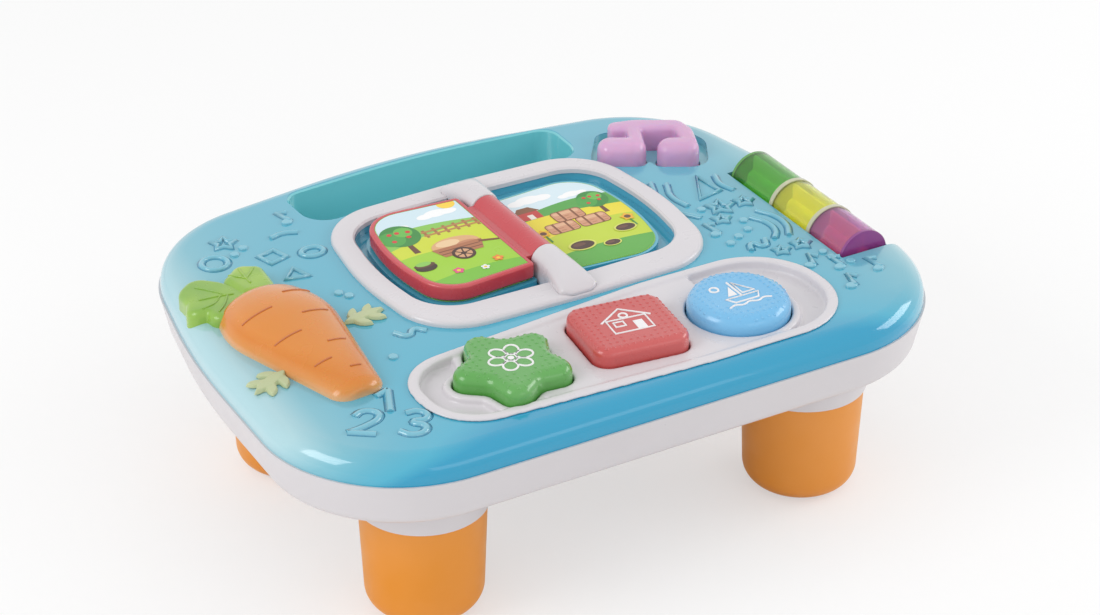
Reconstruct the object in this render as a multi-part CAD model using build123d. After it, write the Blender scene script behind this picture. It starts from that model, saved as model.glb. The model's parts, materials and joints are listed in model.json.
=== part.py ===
from build123d import *
from math import atan2, cos, degrees, hypot, radians, sin
import os

# Activity table on four short legs. Millimetres, +Z up, X along the front edge, Y towards the back.
# The origin is on the floor under the middle of the table.

# Heights above the floor
TOP = 135.0
SEAM = 119.0
BASE_BOTTOM = 90.0
SOCKET_BOTTOM = 70.0

# Walls and gaps of the mouldings
WALL = 2.5
GAP = 0.3
BUTTON_GAP = 0.8

# Outlines, as corners (x, y, corner radius) joined by straight runs
TABLE = [(-219, -172.5, 88), (219, -172.5, 88), (215, 18, 500), (190, 150, 84),
         (0, 178, 500), (-190, 150, 84), (-215, 18, 500)]
TRAY = [(-133, -148, 36), (30, -157, 400), (145, -156, 47), (143, -59, 46), (45, -58, 300), (-133, -75, 35)]
RING = [(-92, -54, 42), (8, -56, 300), (107, -54, 42), (116, 25, 200), (105, 105.5, 42),
        (8, 108.5, 300), (-90, 105.5, 42), (-101, 25, 200)]
WINDOW = [(-80, -33, 30), (7, -35, 400), (96, -33, 30), (104, 27, 200), (95, 91, 30),
          (7, 93, 400), (-79, 91, 30), (-88, 27, 200)]
TROUGH = [(-90, 107.5, 16), (8, 113, 400), (102, 107, 16), (103, 151, 12), (8, 160, 500), (-91, 151, 12)]

# Top shell
SHELL_INSET = 1.2
SHELL_ROUND = 13.0
POCKET_FLOOR = 129.5
PAD_TOP = 133.7
PAD_MARGIN = 2.0
TROUGH_FLOOR = 100.0
TROUGH_ROUND = 6.0
TROUGH_EDGE = 1.5

# Base shell
BASE_TAPER = 11.5
BASE_ROUND = 8.0

# Legs
LEG_X = 131.0
LEG_FRONT_Y = -110.0
LEG_BACK_Y = 66.0
LEG_TOP_R = 37.5
LEG_FOOT_R = 35.2
LEG_FOOT_ROUND = 14.0
LEG_NECK_R = 33.7
LEG_NECK_TOP = 101.0
SOCKET_R = 38.8
SOCKET_TAPER = 5.0
SOCKET_TOP = 105.5

# Button tray and buttons
TRAY_RIM = 2.0
TRAY_FLOOR = 131.0
TRAY_UNDER = 128.8
TRAY_LAP = 3.0
COLLAR_TOP = 135.6
COLLAR_WIDTH = 6.0
BUTTON_TOP = 146.0
BUTTON_ROUNDS = {"star_button": 6.5, "square_button": 5.0, "round_button": 8.0}
BUTTON_LIP = 1.6
BUTTON_WALL = 2.2
STAR_CENTRE = (-72.6, -110.3)
STAR_TIP_R = 43.0
STAR_VALLEY_R = 25.5
STAR_SOFT = 9.5
STAR_TURN = 32.0
SQUARE_CENTRE = (6.2, -108.0)
SQUARE_SIZE = (60.0, 56.0)
SQUARE_TURN = -7.0
ROUND_CENTRE = (80.0, -113.0)
ROUND_R = 31.0

# Switch board and rubber domes under the buttons
BOARD_TOP = 117.0
BOARD_THICK = 1.6
DOME_TOP = 124.0
DOME_FOOT_R = 8.0
DOME_HEAD_R = 4.5
PLUNGER_GAP = 0.1

# Music-note button
NOTE_CENTRE = (143.6, 92.0)
NOTE_TURN = -30.0
NOTE_TOP = 147.0
NOTE_ROUND = 3.5
BASIN_FLOOR = 130.0
HEAD_PLACES = [(-17.5, -11.5), (19.0, -11.5)]
HEAD_SIZES = [(32.0, 18.0), (27.5, 18.0)]
HEAD_ROUND = 7.0
STEMS = [(-13, -12, 3), (-2.5, -12, 3), (-4.5, 7, 2), (17, 8, 2), (22, -12, 3), (32, -12, 4),
         (29, 8, 12), (21, 20.5, 9), (-10, 20.5, 12), (-26.5, 15.5, 4.5), (-26.5, 5, 4.5), (-14.5, 6.5, 2)]
BASIN = [(-39, -26, 13), (-4, -26, 7), (0.5, -18, 1.5), (5, -26, 7), (39, -26, 13), (38, 12, 16),
         (24, 27, 12), (-14, 27, 18), (-34, 20, 10)]

# Book: hinge line, page and bearing caps
HINGE_X = 7.0
HINGE_Z = 140.0
BARREL_R = 9.5
BARREL_FRONT = -9.5
BARREL_BACK = 63.5
PIN_R = 2.0
PIN_GAP = 0.05
PAGE_THICK = 10.0
PAGE = [(-5, -20, 3), (-70, -25, 24), (-80, 29, 150), (-70, 83, 24), (-5, 78, 3)]
PRINT_INSET = 3.2
PRINT_THICK = 0.5
RING_TOP = 139.0
CAP_SEAT = 136.5
CAP_HALF = 10.0
CAP_FAR_HALF = 14.0
CAP_SECTIONS = [(0, 10.0, 150.5, 9.5), (0.4, 10.3, 150.2, 9.2), (0.72, 12.2, 147.0, 7.5), (1, 14.0, 139.8, 2.2)]

# Roller
ROLLER_X = 187.0
ROLLER_Z = 130.0
ROLLER_R = 17.0
ROLLER_FRONT = -89.0
ROLLER_BACK = 34.0
ROLLER_WALL = 2.2
ROLLER_DISC = 3.0
ROLLER_END_DISC = 2.0
ROLLER_LENGTHS = {"roller_green": 42.0, "roller_yellow": 38.0, "roller_purple": 33.0}
AXLE_R = 2.5
BUSH_R = 4.0
SLOT_R = 18.7
SLOT_FRONT = -92.0
SLOT_BACK = 37.0
SLOT_SIDE_SILL = 123.0

# Carrot
CARROT_CROWN = (-166.0, 34.0)
CARROT_TIP = (-156.0, -90.0)
CARROT_R = 36.0
CARROT_FLAT = 0.62
BIG_LEAF = [(-174, 20, 6), (-197, 16, 9), (-198, 29, 2), (-210, 34, 8), (-204, 46, 2), (-203, 62, 9),
            (-188, 72, 11), (-176, 60, 3), (-160, 36, 6)]
SMALL_LEAF = [(-172, 36, 4), (-176, 57, 7), (-161, 70, 8), (-147, 62, 7), (-150, 30, 5)]
SPRIGS = [((-181, -44), 207, 1.0), ((-131, -13), 8, 0.95)]

# Underside and inner parts
BAY_CENTRE = (8.0, 62.0)
BAY_SIZE = (64.0, 50.0)
BAY_ROOF = 110.5
DOOR_SCREW = (8.0, 29.0)
DOOR_THICK = 2.2
CELL_R = 7.1
CELL_LENGTH = 50.0
CELL_PITCH = 15.2
CELL_Z = 100.6
SPEAKER_CENTRE = (8.0, -20.0)
SPEAKER_R = 28.5
SWITCH_CENTRE = (80.0, -10.0)
SWITCH_TRAVEL = 8.0
MAIN_BOARD_CENTRE = (-68.0, 0.0)
MAIN_BOARD_SIZE = (64.0, 50.0)
MAIN_BOARD_Z = 104.0
BOSS_BOTTOM = 98.0
BOSS_R = 4.5
CASE_SCREWS = [(-180, -118), (180, -118), (-150, -22), (150, -22), (-116, 138), (118, 138),
               (8, 103), (-50, -43), (62, -43)]


def outline(corners, inset=0.0):
    """Flat face of straight runs with a tangent arc at each corner."""
    points = [(x, y) for x, y, _ in corners]
    radii = [radius for _, _, radius in corners]
    face = make_face(FilletPolyline(*points, radius=radii, close=True))
    return offset(face, amount=-inset) if inset else face


def slab(face, low, high):
    """The face drawn upwards from one height to another."""
    return extrude(Pos(0, 0, low) * face, amount=high - low, dir=(0, 0, 1))


def plate(corners, low, high, inset=0.0):
    return slab(outline(corners, inset), low, high)


def round_top(body, radius):
    return fillet(body.edges().group_by(Axis.Z)[-1], radius)


def disc(centre, radius, low, high):
    return slab(Pos(*centre) * Circle(radius), low, high)


def box(centre, size, low, high, round_r=0.0):
    face = RectangleRounded(*size, round_r) if round_r else Rectangle(*size)
    return slab(Pos(*centre) * face, low, high)


def along_y(x, z, radius, front, back):
    """Round bar parallel to the Y axis."""
    return extrude(Plane(origin=(x, front, z), x_dir=(1, 0, 0), z_dir=(0, 1, 0)) * Circle(radius),
                   amount=back - front)


def mirrored_page(corners):
    """The page's corners after it has turned over to the right side of the book."""
    return [(2 * HINGE_X - x, y, radius) for x, y, radius in reversed(corners)]


def leg_places():
    return {"leg_front_left": (-LEG_X, LEG_FRONT_Y), "leg_front_right": (LEG_X, LEG_FRONT_Y),
            "leg_back_left": (-LEG_X, LEG_BACK_Y), "leg_back_right": (LEG_X, LEG_BACK_Y)}


# Table top: a thin blue moulding with pockets let into it
def pan(face_corners, floor, inset=0.0):
    """Walls and floor of a pocket, before its space is cut out."""
    return plate(face_corners, floor - WALL, TOP - 1, inset - WALL)


def well(corners, floor, soft, high, inset=0.0):
    """Deep pocket with a rounded foot all round."""
    body = plate(corners, floor, high, inset)
    return fillet(body.edges().group_by(Axis.Z)[0], soft)


def note_place(shape):
    return Pos(*NOTE_CENTRE) * Rot(0, 0, NOTE_TURN) * shape


def roller_housing():
    """Cradle, sill and end walls that hold the roller at the right edge."""
    length = SLOT_BACK - SLOT_FRONT + 2 * WALL
    middle = (SLOT_FRONT + SLOT_BACK) / 2
    cradle = along_y(ROLLER_X, ROLLER_Z, SLOT_R + WALL, SLOT_FRONT - WALL, SLOT_BACK + WALL)
    sill = box((ROLLER_X + 20, middle), (40, length), SLOT_SIDE_SILL - WALL, SLOT_SIDE_SILL)
    ends = [box((ROLLER_X + 20, y), (40, WALL), SLOT_SIDE_SILL - WALL, TOP)
            for y in (SLOT_FRONT - WALL / 2, SLOT_BACK + WALL / 2)]
    return (cradle & outer_column()) + ((sill + ends) & table_block())


def base_relief():
    """Space kept free in the base shell for the roller's cradle and sill."""
    length = SLOT_BACK - SLOT_FRONT + 2 * WALL + 1
    middle = (SLOT_FRONT + SLOT_BACK) / 2
    cradle = along_y(ROLLER_X, ROLLER_Z, SLOT_R + WALL + 0.5, middle - length / 2, middle + length / 2)
    return cradle + box((ROLLER_X + 20, middle), (40, length), SLOT_SIDE_SILL - WALL - GAP, TOP)


def roller_space():
    middle = (SLOT_FRONT + SLOT_BACK) / 2
    length = SLOT_BACK - SLOT_FRONT
    drum = along_y(ROLLER_X, ROLLER_Z, SLOT_R, SLOT_FRONT, SLOT_BACK)
    above = box((ROLLER_X, middle), (2 * (ROLLER_X - 170.0), length), ROLLER_Z, TOP + 20)
    open_side = box((ROLLER_X + 25, middle), (50, length), SLOT_SIDE_SILL, TOP + 20)
    bearings = along_y(ROLLER_X, ROLLER_Z, BUSH_R, SLOT_FRONT - 10, SLOT_BACK + 10)
    return drum + above + open_side + bearings


def table_block():
    """The whole space inside the blue moulding's outer face."""
    return round_top(plate(TABLE, SEAM, TOP, SHELL_INSET), SHELL_ROUND)


def outer_column():
    """The space inside the blue moulding, drawn down past its lower edge."""
    return table_block() + plate(TABLE, BASE_BOTTOM, SEAM + 1, SHELL_INSET + WALL)


def top_shell():
    outer = table_block()
    inner = round_top(plate(TABLE, SEAM - 1, TOP - WALL, SHELL_INSET + WALL), SHELL_ROUND - WALL)
    shell = outer - inner
    pans = pan(WINDOW, POCKET_FLOOR) + note_place(pan(BASIN, BASIN_FLOOR))
    pans += well(TROUGH, TROUGH_FLOOR - WALL, TROUGH_ROUND + WALL, TOP - 1, -WALL)
    shell += (pans & outer_column()) + roller_housing()
    shell += [disc(place, BOSS_R, BOSS_BOTTOM, TOP - WALL) for place in CASE_SCREWS]
    shell -= plate(TRAY, TRAY_UNDER - 5, TOP + 5, TRAY_LAP)
    shell -= plate(WINDOW, POCKET_FLOOR, TOP + 5)
    shell -= well(TROUGH, TROUGH_FLOOR, TROUGH_ROUND, TOP + 5)
    shell -= extrude(Pos(0, 0, TOP - TROUGH_EDGE) * outline(TROUGH), amount=TROUGH_EDGE, taper=-45)
    shell -= note_place(plate(BASIN, BASIN_FLOOR, TOP + 5))
    for face in note_faces():
        shell -= note_place(slab(offset(face, amount=BUTTON_GAP), BASIN_FLOOR - 5, BASIN_FLOOR + 1))
    shell -= roller_space()
    shell -= [disc(place, 1.3, BOSS_BOTTOM - 1, BOSS_BOTTOM + 14) for place in CASE_SCREWS]
    for corners in (PAGE, mirrored_page(PAGE)):
        shell += plate(corners, POCKET_FLOOR - 0.5, PAD_TOP, -PAD_MARGIN) - spine_clear()
    return shell


def spine_clear():
    """Groove under the barrel and the caps' feet."""
    return box((HINGE_X, 29), (2 * CAP_HALF + 2, 140), POCKET_FLOOR, PAD_TOP + 5)


# White base: a tapering tray with a socket for each leg
def base_outer(inset=0.0):
    return extrude(Pos(0, 0, SEAM) * outline(TABLE, inset), amount=-(SEAM - BASE_BOTTOM), taper=BASE_TAPER)


def base_shell():
    outer = base_outer()
    outer = fillet(outer.edges().group_by(Axis.Z)[0], BASE_ROUND)
    inner = Pos(0, 0, WALL) * base_outer(WALL)
    inner += plate(TABLE, SEAM - 1, SEAM + WALL + 1, WALL)
    shell = outer - inner
    lip = plate(TABLE, SEAM - 4, SEAM + 3, SHELL_INSET + WALL + GAP)
    lip -= plate(TABLE, SEAM - 5, SEAM + 4, SHELL_INSET + WALL + GAP + 1.6)
    bridge = plate(TABLE, SEAM - 4, SEAM - 1.5, WALL - 0.5)
    bridge -= plate(TABLE, SEAM - 5, SEAM, SHELL_INSET + WALL + GAP + 1.6)
    shell += (lip + bridge) - base_relief()
    for place in leg_places().values():
        collar = extrude(Pos(*place, SOCKET_BOTTOM) * Circle(SOCKET_R), amount=BASE_BOTTOM - SOCKET_BOTTOM + 1,
                         taper=-SOCKET_TAPER)
        shell += collar + disc(place, LEG_NECK_R + GAP + WALL, BASE_BOTTOM, SOCKET_TOP)
        shell -= disc(place, LEG_NECK_R + GAP, SOCKET_BOTTOM - 1, SOCKET_TOP - WALL)
    for place in CASE_SCREWS:
        shell += disc(place, BOSS_R, BASE_BOTTOM + 1, BOSS_BOTTOM)
        shell -= disc(place, 3.2, BASE_BOTTOM - 1, BOSS_BOTTOM - WALL)
        shell -= disc(place, 1.7, BASE_BOTTOM - 1, BOSS_BOTTOM + 1)
    shell += battery_bay() + disc(DOOR_SCREW, 6.5, BASE_BOTTOM + 1, BASE_BOTTOM + 11)
    shell -= box(BAY_CENTRE, BAY_SIZE, BASE_BOTTOM - 1, BAY_ROOF - WALL, 3)
    shell -= slab(door_outline(0.3), BASE_BOTTOM - 1, BASE_BOTTOM + 1.2)
    shell -= disc(DOOR_SCREW, 5.4, BASE_BOTTOM - 1, BASE_BOTTOM + 2.4)
    shell -= disc(DOOR_SCREW, 1.2, BASE_BOTTOM, BASE_BOTTOM + 9.5)
    shell += speaker_seat()
    shell -= speaker_grille()
    shell -= box((SWITCH_CENTRE[0] + SWITCH_TRAVEL / 2, SWITCH_CENTRE[1]), (SWITCH_TRAVEL + 7, 7),
                 BASE_BOTTOM - 1, BASE_BOTTOM + WALL + 1, 1.5)
    shell += [disc(place, 3, BASE_BOTTOM + 1, MAIN_BOARD_Z) for place in board_corners()]
    return shell


def battery_bay():
    return box(BAY_CENTRE, (BAY_SIZE[0] + 2 * WALL, BAY_SIZE[1] + 2 * WALL), BASE_BOTTOM + 1, BAY_ROOF, 4)


def door_outline(margin=0.0):
    """Battery door seen from below: a rounded panel with a round tab for its screw."""
    width, depth = BAY_SIZE[0] + 4.4 + 2 * margin, BAY_SIZE[1] + 4.4 + 2 * margin
    face = Pos(*BAY_CENTRE) * RectangleRounded(width, depth, 3.7)
    face += Pos(*DOOR_SCREW) * Circle(7 + margin)
    return face + Pos(DOOR_SCREW[0], DOOR_SCREW[1] + 5) * Rectangle(14 + 2 * margin, 10)


def speaker_seat():
    ring = disc(SPEAKER_CENTRE, SPEAKER_R + WALL, BASE_BOTTOM + 1, BASE_BOTTOM + WALL + 5)
    return ring - disc(SPEAKER_CENTRE, SPEAKER_R + 0.3, BASE_BOTTOM, BASE_BOTTOM + 20)


def speaker_grille():
    """Rings of small round holes through the floor of the base."""
    x, y = SPEAKER_CENTRE
    places = [(x, y)]
    for count, radius in ((6, 6.5), (12, 13.0), (18, 19.5)):
        turns = [radians(360 * i / count) for i in range(count)]
        places += [(x + radius * cos(turn), y + radius * sin(turn)) for turn in turns]
    return [disc(place, 1.6, BASE_BOTTOM - 1, BASE_BOTTOM + WALL + 1) for place in places]


def board_corners():
    x, y = MAIN_BOARD_CENTRE
    dx, dy = MAIN_BOARD_SIZE[0] / 2 - 5, MAIN_BOARD_SIZE[1] / 2 - 5
    return [(x + i * dx, y + j * dy) for i in (-1, 1) for j in (-1, 1)]


# Legs: tapered hollow cups with a big rounded foot and a neck for the socket
def leg(place):
    foot, round_r = LEG_FOOT_R, LEG_FOOT_ROUND
    with BuildPart() as cup:
        with BuildSketch(Plane.XZ):
            with BuildLine():
                Polyline((0, 0), (foot - round_r, 0))
                RadiusArc((foot - round_r, 0), (foot, round_r), -round_r)
                Polyline((foot, round_r), (LEG_TOP_R, SOCKET_BOTTOM), (LEG_NECK_R, SOCKET_BOTTOM),
                         (LEG_NECK_R, LEG_NECK_TOP), (LEG_NECK_R - WALL, LEG_NECK_TOP),
                         (LEG_NECK_R - WALL, SOCKET_BOTTOM - 4), (LEG_TOP_R - WALL, SOCKET_BOTTOM - 9),
                         (foot - WALL, round_r))
                RadiusArc((foot - WALL, round_r), (foot - round_r, WALL), round_r - WALL)
                Polyline((foot - round_r, WALL), (0, WALL), (0, 0))
            make_face()
        revolve(axis=Axis.Z)
    return Pos(*place) * cup.part


# Button tray
def button_faces():
    return {"star_button": star_face(), "square_button": square_face(), "round_button": round_face()}


def star_face():
    """Five-pointed star with soft points and valleys."""
    points = []
    for i in range(10):
        reach = STAR_TIP_R if i % 2 == 0 else STAR_VALLEY_R
        angle = radians(STAR_TURN + 36 * i)
        points.append((STAR_CENTRE[0] + reach * cos(angle), STAR_CENTRE[1] + reach * sin(angle)))
    return make_face(FilletPolyline(*points, radius=STAR_SOFT, close=True))


def square_face():
    return Pos(*SQUARE_CENTRE) * Rot(0, 0, SQUARE_TURN) * RectangleRounded(*SQUARE_SIZE, 10)


def round_face():
    return Pos(*ROUND_CENTRE) * Circle(ROUND_R)


TRAY_POSTS = [(-35, -122), (-34, -98), (42, -134), (46, -88)]


def button_tray():
    """Plate let into the top, with a dished hollow at each end and a raised land round the buttons."""
    tray = round_top(plate(TRAY, TOP, TOP + TRAY_RIM), 1.4)
    tray += plate(TRAY, TRAY_UNDER, TOP + 0.5, TRAY_LAP + GAP)
    tray -= plate(TRAY, TRAY_FLOOR, TOP + 5, 7)
    land = plate(TRAY, TRAY_UNDER, COLLAR_TOP, 6) & box((4, -105), (140, 120), 100, 150)
    for face in button_faces().values():
        collar = round_top(slab(offset(face, amount=COLLAR_WIDTH), TRAY_UNDER, COLLAR_TOP), 2.0)
        land += collar & plate(TRAY, TRAY_UNDER, TOP + 5, 6)
    tray += land
    tray += [disc(place, 3, BOARD_TOP, TRAY_FLOOR) for place in TRAY_POSTS]
    tray -= [slab(offset(face, amount=BUTTON_GAP), TRAY_UNDER - 1, TOP + 5) for face in button_faces().values()]
    return tray - [disc(place, 1.1, BOARD_TOP - 1, BOARD_TOP + 9) for place in TRAY_POSTS]


def press_button(face, centre, soft, top=BUTTON_TOP):
    """Hollow cap with a soft top edge, a lip under the tray, cross ribs and a plunger."""
    lip_top = TRAY_UNDER - 0.5
    cap = round_top(slab(face, lip_top - 1, top), soft)
    cap += slab(offset(face, amount=BUTTON_LIP), lip_top - 2, lip_top)
    cap -= round_top(slab(offset(face, amount=-BUTTON_WALL), lip_top - 3, top - BUTTON_WALL), soft - BUTTON_WALL)
    for size in ((36, 1.6), (1.6, 36)):
        cap += box(centre, size, top - 9, top - 2)
    return cap + disc(centre, 4, DOME_TOP + PLUNGER_GAP, top - 2)


def dome(centre, foot, head):
    """Rubber dome that springs a button back."""
    shape = extrude(Pos(*centre, foot) * Circle(DOME_FOOT_R), amount=1.2)
    cone = loft([Pos(*centre, foot + 1.2) * Circle(DOME_FOOT_R - 1.5), Pos(*centre, head) * Circle(DOME_HEAD_R)])
    return shape + cone


def switch_board():
    board = box((2, -111), (218, 56), BOARD_TOP - BOARD_THICK, BOARD_TOP, 3)
    return board - [disc(place, 1.3, BOARD_TOP - 5, BOARD_TOP + 1) for place in TRAY_POSTS]


# Music-note button: two round heads, two stems and a thick beam
def note_heads():
    return [Pos(*place) * RectangleRounded(*size, 8.9) for place, size in zip(HEAD_PLACES, HEAD_SIZES)]


def note_faces():
    return note_heads() + [outline(STEMS)]


def note_button():
    lip_top = BASIN_FLOOR - WALL - 0.5
    body = round_top(slab(outline(STEMS), lip_top - 1, NOTE_TOP), NOTE_ROUND)
    for head in note_heads():
        body += round_top(slab(head, lip_top - 1, NOTE_TOP), HEAD_ROUND)
    for face in note_faces():
        body -= slab(offset(face, amount=-BUTTON_WALL), lip_top - 2, NOTE_TOP - 4)
    body += box((0.3, 0), (70, 44), lip_top - 2.2, lip_top, 8)
    return note_place(body)


def note_board():
    return note_place(box((1, 0), (44, 34), BOARD_TOP - BOARD_THICK, BOARD_TOP, 3))


# Book
def book_frame():
    ring = round_top(plate(RING, TOP, RING_TOP), 3.0)
    ring -= plate(WINDOW, TOP - 1, RING_TOP + 1, 1.0)
    inner_edge = ring.edges().group_by(Axis.Z)[-1].filter_by(lambda edge: inside_ring(edge))
    ring = chamfer(inner_edge, 1.2)
    return ring - [bearing_cap_block(*cap) for cap in CAPS.values()]


def inside_ring(edge):
    middle = edge @ 0.5
    return abs(middle.X - HINGE_X) < 98 and -38 < middle.Y < 94.5


CAPS = {"spine_cap_front": (BARREL_FRONT - 0.5, -55.2, -34.0), "spine_cap_back": (BARREL_BACK + 0.5, 103.2, 92.0)}


def bearing_cap_block(hub_side, far_side, window_side):
    """Arched hood that fans out over the ring, with a foot down to the pocket floor."""
    faces = []
    for share, half, top, soft in CAP_SECTIONS:
        middle = hub_side + share * (far_side - hub_side)
        corners = [(-half, CAP_SEAT, 0), (half, CAP_SEAT, 0), (half, top, soft), (-half, top, soft)]
        faces.append(Plane(origin=(HINGE_X, middle, 0), x_dir=(1, 0, 0), z_dir=(0, -1, 0)) * outline(corners))
    left, right = HINGE_X - CAP_FAR_HALF, HINGE_X + CAP_FAR_HALF
    hood = loft(faces) & plate([(left, hub_side, 0), (right, hub_side, 0), (right, far_side, 9), (left, far_side, 9)],
                               CAP_SEAT, CAP_SEAT + 20)
    foot = box((HINGE_X, (hub_side + window_side) / 2), (2 * CAP_HALF, abs(window_side - hub_side)),
               POCKET_FLOOR, CAP_SEAT + 1)
    return hood + foot


def bearing_cap(hub_side, far_side, window_side):
    block = bearing_cap_block(hub_side, far_side, window_side)
    reach = 14 if far_side > hub_side else -14
    low, high = sorted((hub_side - reach / 14, hub_side + reach))
    return block - along_y(HINGE_X, HINGE_Z, PIN_R, low, high)


def book_page():
    low, high = HINGE_Z - PAGE_THICK / 2, HINGE_Z + PAGE_THICK / 2
    leaf = plate(PAGE, low, high)
    leaf = fillet(leaf.edges().group_by(Axis.Z)[-1] + leaf.edges().group_by(Axis.Z)[0], 1.5)
    middle = (BARREL_FRONT + BARREL_BACK) / 2
    leaf += box((0.5, middle), (13, BARREL_BACK - BARREL_FRONT), low + 0.5, high - 0.5)
    leaf += along_y(HINGE_X, HINGE_Z, BARREL_R, BARREL_FRONT, BARREL_BACK)
    leaf -= plate(PAGE, high - PRINT_THICK - 0.1, high + 1, PRINT_INSET)
    leaf -= plate(PAGE, low - 1, low + PRINT_THICK + 0.1, PRINT_INSET)
    return leaf - along_y(HINGE_X, HINGE_Z, PIN_R + PIN_GAP, BARREL_FRONT - 1, BARREL_BACK + 1)


def prints():
    """Thin printed cards: one on each face of the page and one on each side of the book floor."""
    low, high = HINGE_Z - PAGE_THICK / 2, HINGE_Z + PAGE_THICK / 2
    card = outline(PAGE, PRINT_INSET + 0.1)
    left = plate(PAGE, PAD_TOP, PAD_TOP + 0.4, 2) - spine_clear()
    right = plate(mirrored_page(PAGE), PAD_TOP, PAD_TOP + 0.4, 0) - spine_clear()
    return {"page_print_top": slab(card, high - PRINT_THICK - 0.1, high - 0.1),
            "page_print_under": slab(card, low + 0.1, low + 0.1 + PRINT_THICK),
            "floor_print_left": left, "floor_print_right": right}


def page_pin():
    return along_y(HINGE_X, HINGE_Z, PIN_R, BARREL_FRONT - 14, BARREL_BACK + 14)


# Roller: three clear drums and their discs on one axle
def roller_parts():
    parts, discs = {}, []
    back = ROLLER_BACK
    discs.append(along_y(ROLLER_X, ROLLER_Z, ROLLER_R, back - ROLLER_END_DISC, back))
    back -= ROLLER_END_DISC
    for name, length in ROLLER_LENGTHS.items():
        drum = along_y(ROLLER_X, ROLLER_Z, ROLLER_R, back - length, back)
        parts[name] = drum - along_y(ROLLER_X, ROLLER_Z, ROLLER_R - ROLLER_WALL, back - length, back)
        back -= length
        last = name == "roller_purple"
        thick = ROLLER_END_DISC if last else ROLLER_DISC
        rim = ROLLER_R if last else ROLLER_R + 0.7
        discs.append(along_y(ROLLER_X, ROLLER_Z, rim, back - thick, back))
        back -= thick
    bore = along_y(ROLLER_X, ROLLER_Z, AXLE_R, ROLLER_FRONT - 1, ROLLER_BACK + 1)
    parts["roller_discs"] = Compound(children=[piece - bore for piece in discs])
    core = along_y(ROLLER_X, ROLLER_Z, 5, ROLLER_FRONT, ROLLER_BACK)
    middle = (ROLLER_FRONT + ROLLER_BACK) / 2
    for turn in (0, 120, 240):
        vane = Pos(0, 0, 7.2) * Box(1.6, ROLLER_BACK - ROLLER_FRONT, 14.2)
        core += Pos(ROLLER_X, middle, ROLLER_Z) * Rot(0, turn, 0) * vane
    parts["roller_core"] = core - discs - bore
    parts["roller_axle"] = along_y(ROLLER_X, ROLLER_Z, AXLE_R, SLOT_FRONT - WALL, SLOT_BACK + WALL)
    return parts


def roller_bush(low, high):
    bush = along_y(ROLLER_X, ROLLER_Z, BUSH_R, low, high)
    return bush - along_y(ROLLER_X, ROLLER_Z, AXLE_R + PIN_GAP, low - 1, high + 1)


# Carrot: a plump root lying half sunk in the top, with leaves at its crown
def carrot_body():
    run = hypot(CARROT_TIP[0] - CARROT_CROWN[0], CARROT_TIP[1] - CARROT_CROWN[1])
    turn = degrees(atan2(CARROT_TIP[1] - CARROT_CROWN[1], CARROT_TIP[0] - CARROT_CROWN[0]))
    profile = [(0, 0, 0), (0, 0.74 * CARROT_R, 18), (0.26 * run, CARROT_R, 60), (run, 0.42 * CARROT_R, 11), (run, 0, 0)]
    root = scale(revolve(Plane.XZ * outline(profile), axis=Axis.X), by=(1, 1, CARROT_FLAT))
    lying = Pos(*CARROT_CROWN, TOP - 1) * Rot(0, 0, turn) * root
    return lying & Pos(CARROT_CROWN[0], 0, TOP + 30) * Box(160, 300, 60)


def lobe(corners, height, soft):
    """Thick soft-edged leaf that lies on the top and droops over its rounded edge."""
    cover = round_top(plate(TABLE, SEAM, TOP + height, SHELL_INSET - height), SHELL_ROUND + height)
    leaf = plate(corners, SEAM + 1, TOP + height + 1) & cover
    return fillet([edge for edge in leaf.edges() if edge.bounding_box().min.Z > SEAM + 5], soft)


def carrot_leaves():
    leaves = lobe(BIG_LEAF, 8, 4.5) + lobe(SMALL_LEAF, 10, 5)
    return leaves - table_block() - carrot_body()


def leaflet(place, turn, length, width, height):
    half = width / 2
    with BuildSketch() as sketch:
        with BuildLine():
            ThreePointArc((0, 0), (0.5 * length, -half), (length, 0))
            ThreePointArc((length, 0), (0.5 * length, half), (0, 0))
        make_face()
    face = Pos(*place) * Rot(0, 0, turn) * sketch.sketch
    return extrude(Pos(0, 0, TOP) * face, amount=height, taper=20)


def sprigs():
    """Two small sprigs of leaflets beside the carrot."""
    group = []
    for place, turn, size in SPRIGS:
        sprig = leaflet(place, turn, 32 * size, 9 * size, 3)
        for share, side in ((0.2, -50), (0.2, 50), (0.5, -42), (0.5, 42)):
            start = (place[0] + 32 * size * share * cos(radians(turn)), place[1] + 32 * size * share * sin(radians(turn)))
            sprig += leaflet(start, turn + side, 15 * size, 7 * size, 2.6)
        group.append(sprig - carrot_body())
    return group


# Inner parts
def light_places():
    return [(STAR_CENTRE[0] - 14, STAR_CENTRE[1]), (SQUARE_CENTRE[0] - 14, SQUARE_CENTRE[1]),
            (ROUND_CENTRE[0] - 14, ROUND_CENTRE[1])]


def lights():
    """Small round-topped lamps on the boards."""
    lamps = [round_top(disc(place, 2.5, BOARD_TOP, BOARD_TOP + 6), 2.2) for place in light_places()]
    lamps.append(note_place(round_top(disc((-14, 0), 2.0, BOARD_TOP, BOARD_TOP + 4.5), 1.8)))
    return Compound(children=lamps)


def main_board():
    board = box(MAIN_BOARD_CENTRE, MAIN_BOARD_SIZE, MAIN_BOARD_Z, MAIN_BOARD_Z + BOARD_THICK, 2)
    return board - [disc(place, 1.4, MAIN_BOARD_Z - 1, MAIN_BOARD_Z + 3) for place in board_corners()]


def main_chips():
    x, y = MAIN_BOARD_CENTRE
    low = MAIN_BOARD_Z + BOARD_THICK
    blocks = [box((x - 8, y + 4), (16, 12), low, low + 2.2), box((x + 14, y - 8), (9, 7), low, low + 1.8),
              disc((x - 20, y - 12), 4, low, low + 9), disc((x + 18, y + 10), 3, low, low + 7)]
    return Compound(children=blocks)


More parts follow.
